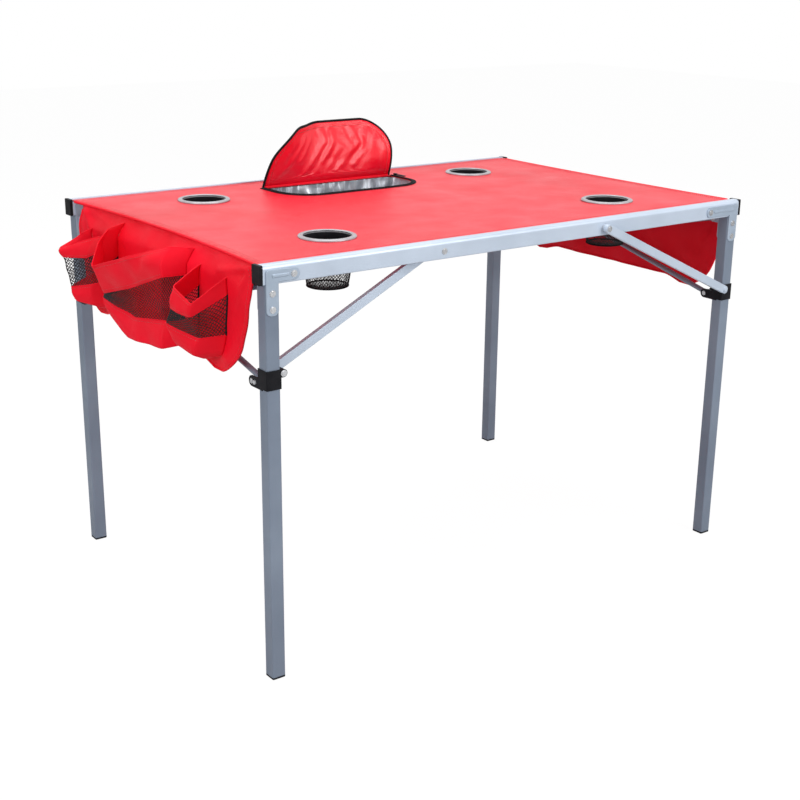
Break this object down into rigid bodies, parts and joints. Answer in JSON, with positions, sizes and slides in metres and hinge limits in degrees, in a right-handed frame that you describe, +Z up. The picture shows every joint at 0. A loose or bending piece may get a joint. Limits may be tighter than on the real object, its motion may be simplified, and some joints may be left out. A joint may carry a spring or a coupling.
{
  "type": "folding camp table with cooler bag",
  "caption": "Folding outdoor table: two rails, square legs on pivots, sliding collars with braces and crossed end links, a fabric top with cup holders, a zipped cooler bag and end pockets.",
  "frame": {"origin": "on the floor under the middle of the top", "axes": "+X along the rails, +Y to the cooler side, +Z up"},
  "size_m": [1.1072, 0.6816, 0.7485],
  "materials": {
    "silver_paint": "satin silver paint",
    "grey_paint": "satin grey paint",
    "zinc": "bright rivet steel",
    "black_plastic": "matt moulded plastic",
    "red_cloth": "coated woven polyester",
    "black_mesh": "open net",
    "grey_binding": "grey binding tape",
    "foil": "crinkled foil cloth",
    "zip_tape": "black zip tape",
    "button_grey": "light grey plastic"
  },
  "bodies": {
    "front_frame": {"front_rail": "silver_paint", "front_rail_caps": "black_plastic", "front_rail_rivets": "zinc", "fabric_top": "red_cloth", "cup_rings": "grey_binding", "cup_pockets": "black_mesh", "apron_left": "red_cloth", "apron_right": "red_cloth", "bottle_pockets_left": "black_mesh", "bottle_pockets_right": "black_mesh", "box_pocket_left": "black_mesh", "box_pocket_right": "black_mesh"},
    "back_frame": {"back_rail": "silver_paint", "back_rail_caps": "black_plastic", "back_rail_rivets": "zinc"},
    "cooler": {"cooler_bag": "red_cloth", "cooler_lining": "foil", "cooler_zip": "zip_tape", "zip_slider": "black_plastic"},
    "lid": {"cooler_lid": "red_cloth", "lid_zip": "zip_tape"},
    "zip_pull": {"zip_pull": "black_plastic"},
    "leg_front_left": {"leg_front_left": "grey_paint", "foot_front_left": "black_plastic", "bracket_front_left": "silver_paint", "leg_rivets_front_left": "zinc"},
    "collar_front_left": {"collar_front_left": "black_plastic", "collar_rivets_front_left": "zinc"},
    "lock_front_left": {"lock_button_front_left": "button_grey"},
    "brace_front_left": {"brace_front_left": "grey_paint"},
    "end_link_front_left": {"end_link_front_left": "grey_paint", "end_link_rivet_left": "zinc"},
    "leg_front_right": {"leg_front_right": "grey_paint", "foot_front_right": "black_plastic", "bracket_front_right": "silver_paint", "leg_rivets_front_right": "zinc"},
    "collar_front_right": {"collar_front_right": "black_plastic", "collar_rivets_front_right": "zinc"},
    "lock_front_right": {"lock_button_front_right": "button_grey"},
    "brace_front_right": {"brace_front_right": "grey_paint"},
    "end_link_front_right": {"end_link_front_right": "grey_paint", "end_link_rivet_right": "zinc"},
    "leg_back_left": {"leg_back_left": "grey_paint", "foot_back_left": "black_plastic", "bracket_back_left": "silver_paint", "leg_rivets_back_left": "zinc"},
    "collar_back_left": {"collar_back_left": "black_plastic", "collar_rivets_back_left": "zinc"},
    "lock_back_left": {"lock_button_back_left": "button_grey"},
    "brace_back_left": {"brace_back_left": "grey_paint"},
    "end_link_back_left": {"end_link_back_left": "grey_paint"},
    "leg_back_right": {"leg_back_right": "grey_paint", "foot_back_right": "black_plastic", "bracket_back_right": "silver_paint", "leg_rivets_back_right": "zinc"},
    "collar_back_right": {"collar_back_right": "black_plastic", "collar_rivets_back_right": "zinc"},
    "lock_back_right": {"lock_button_back_right": "button_grey"},
    "brace_back_right": {"brace_back_right": "grey_paint"},
    "end_link_back_right": {"end_link_back_right": "grey_paint"}
  },
  "joints": [
    {"name": "left_fold", "type": "hinge", "parent": "front_frame", "child": "leg_front_left", "pos_m": [-0.4406, -0.317, 0.624], "axis": [0, -1, 0], "range_deg": [0, 90], "deforming": ["fabric_top", "cup_rings", "cup_pockets", "cooler_bag", "cooler_lining", "cooler_zip", "zip_slider", "apron_left", "apron_right", "bottle_pockets_left", "bottle_pockets_right", "box_pocket_left", "box_pocket_right", "cooler_lid", "lid_zip", "zip_pull"]},
    {"name": "right_fold", "type": "hinge", "parent": "front_frame", "child": "leg_front_right", "pos_m": [0.4164, -0.317, 0.624], "axis": [0, 1, 0], "range_deg": [0, 90]},
    {"name": "link_front_left_top", "type": "hinge", "parent": "leg_front_left", "child": "end_link_front_left", "pos_m": [-0.476, -0.288, 0.6035], "axis": [-1, 0, 0], "range_deg": [0, 65.52]},
    {"name": "link_cross_left", "type": "hinge", "parent": "end_link_front_left", "child": "end_link_back_left", "pos_m": [-0.476, 0, 0.53475], "axis": [1, 0, 0], "range_deg": [0, 130.99]},
    {"name": "link_back_left_top", "type": "hinge", "parent": "end_link_back_left", "child": "leg_back_left", "pos_m": [-0.476, 0.288, 0.6035], "axis": [-1, 0, 0], "range_deg": [0, 65.52]},
    {"name": "back_left_pivot", "type": "hinge", "parent": "leg_back_left", "child": "back_frame", "pos_m": [-0.4406, 0.317, 0.624], "axis": [0, 1, 0], "range_deg": [0, 90.05]},
    {"name": "back_right_pivot", "type": "hinge", "parent": "back_frame", "child": "leg_back_right", "pos_m": [0.4164, 0.317, 0.624], "axis": [0, 1, 0], "range_deg": [0, 90.05]},
    {"name": "link_front_right_top", "type": "hinge", "parent": "leg_front_right", "child": "end_link_front_right", "pos_m": [0.476, -0.288, 0.6035], "axis": [-1, 0, 0], "range_deg": [0, 65.52]},
    {"name": "link_back_right_top", "type": "hinge", "parent": "leg_back_right", "child": "end_link_back_right", "pos_m": [0.476, 0.288, 0.6035], "axis": [1, 0, 0], "range_deg": [0, 65.52]},
    {"name": "collar_front_left_slide", "type": "slide", "parent": "leg_front_left", "child": "collar_front_left", "axis": [0, 0, -1], "range_m": [0, 0.4441]},
    {"name": "brace_front_left_pivot", "type": "hinge", "parent": "front_frame", "child": "brace_front_left", "pos_m": [-0.17403, -0.317, 0.624], "axis": [0, -1, 0], "range_deg": [0, 150.25]},
    {"name": "lock_front_left_press", "type": "slide", "parent": "collar_front_left", "child": "lock_front_left", "axis": [1, 0, 0], "range_m": [0, 0.002], "stiffness_N_per_m": 400},
    {"name": "collar_front_right_slide", "type": "slide", "parent": "leg_front_right", "child": "collar_front_right", "axis": [0, 0, -1], "range_m": [0, 0.4441]},
    {"name": "brace_front_right_pivot", "type": "hinge", "parent": "front_frame", "child": "brace_front_right", "pos_m": [0.16009, -0.317, 0.624], "axis": [0, 1, 0], "range_deg": [0, 147.25]},
    {"name": "lock_front_right_press", "type": "slide", "parent": "collar_front_right", "child": "lock_front_right", "axis": [-1, 0, 0], "range_m": [0, 0.002], "stiffness_N_per_m": 400},
    {"name": "collar_back_left_slide", "type": "slide", "parent": "leg_back_left", "child": "collar_back_left", "axis": [0, 0, -1], "range_m": [0, 0.4441]},
    {"name": "brace_back_left_pivot", "type": "hinge", "parent": "back_frame", "child": "brace_back_left", "pos_m": [-0.17403, 0.317, 0.624], "axis": [0, -1, 0], "range_deg": [0, 150.25]},
    {"name": "lock_back_left_press", "type": "slide", "parent": "collar_back_left", "child": "lock_back_left", "axis": [1, 0, 0], "range_m": [0, 0.002], "stiffness_N_per_m": 400},
    {"name": "collar_back_right_slide", "type": "slide", "parent": "leg_back_right", "child": "collar_back_right", "axis": [0, 0, -1], "range_m": [0, 0.4441]},
    {"name": "brace_back_right_pivot", "type": "hinge", "parent": "back_frame", "child": "brace_back_right", "pos_m": [0.16009, 0.317, 0.624], "axis": [0, 1, 0], "range_deg": [0, 147.25]},
    {"name": "lock_back_right_press", "type": "slide", "parent": "collar_back_right", "child": "lock_back_right", "axis": [-1, 0, 0], "range_m": [0, 0.002], "stiffness_N_per_m": 400},
    {"name": "cooler_gather", "type": "slide", "parent": "front_frame", "child": "cooler", "axis": [0, -1, 0], "range_m": [0, 0.41868]},
    {"name": "lid_hinge", "type": "hinge", "parent": "cooler", "child": "lid", "pos_m": [0, 0.248, 0.6383], "axis": [1, 0, 0], "range_deg": [0, 95]},
    {"name": "zip_pull_hinge", "type": "hinge", "parent": "cooler", "child": "zip_pull", "pos_m": [0.148, 0.2312, 0.6408], "axis": [-1, 0, 0], "range_deg": [0, 110]}
  ],
  "couplings": [
    {"joint": "link_front_left_top", "follows": "left_fold", "ratio": 0.72745},
    {"joint": "link_cross_left", "follows": "left_fold", "ratio": 1.4549},
    {"joint": "link_back_left_top", "follows": "left_fold", "ratio": 0.72745},
    {"joint": "back_left_pivot", "follows": "left_fold", "ratio": 1},
    {"joint": "back_right_pivot", "follows": "right_fold", "ratio": 1},
    {"joint": "link_front_right_top", "follows": "left_fold", "ratio": 0.72745},
    {"joint": "link_back_right_top", "follows": "left_fold", "ratio": 0.72745},
    {"joint": "collar_front_left_slide", "follows": "left_fold", "m_per_rad": 0.2824},
    {"joint": "brace_front_left_pivot", "follows": "left_fold", "ratio": 1.6689},
    {"joint": "collar_front_right_slide", "follows": "right_fold", "m_per_rad": 0.2824},
    {"joint": "brace_front_right_pivot", "follows": "right_fold", "ratio": 1.6356},
    {"joint": "collar_back_left_slide", "follows": "left_fold", "m_per_rad": 0.2824},
    {"joint": "brace_back_left_pivot", "follows": "left_fold", "ratio": 1.6689},
    {"joint": "collar_back_right_slide", "follows": "right_fold", "m_per_rad": 0.2824},
    {"joint": "brace_back_right_pivot", "follows": "right_fold", "ratio": 1.6356},
    {"joint": "cooler_gather", "follows": "left_fold", "m_per_rad": 0.26622}
  ]
}
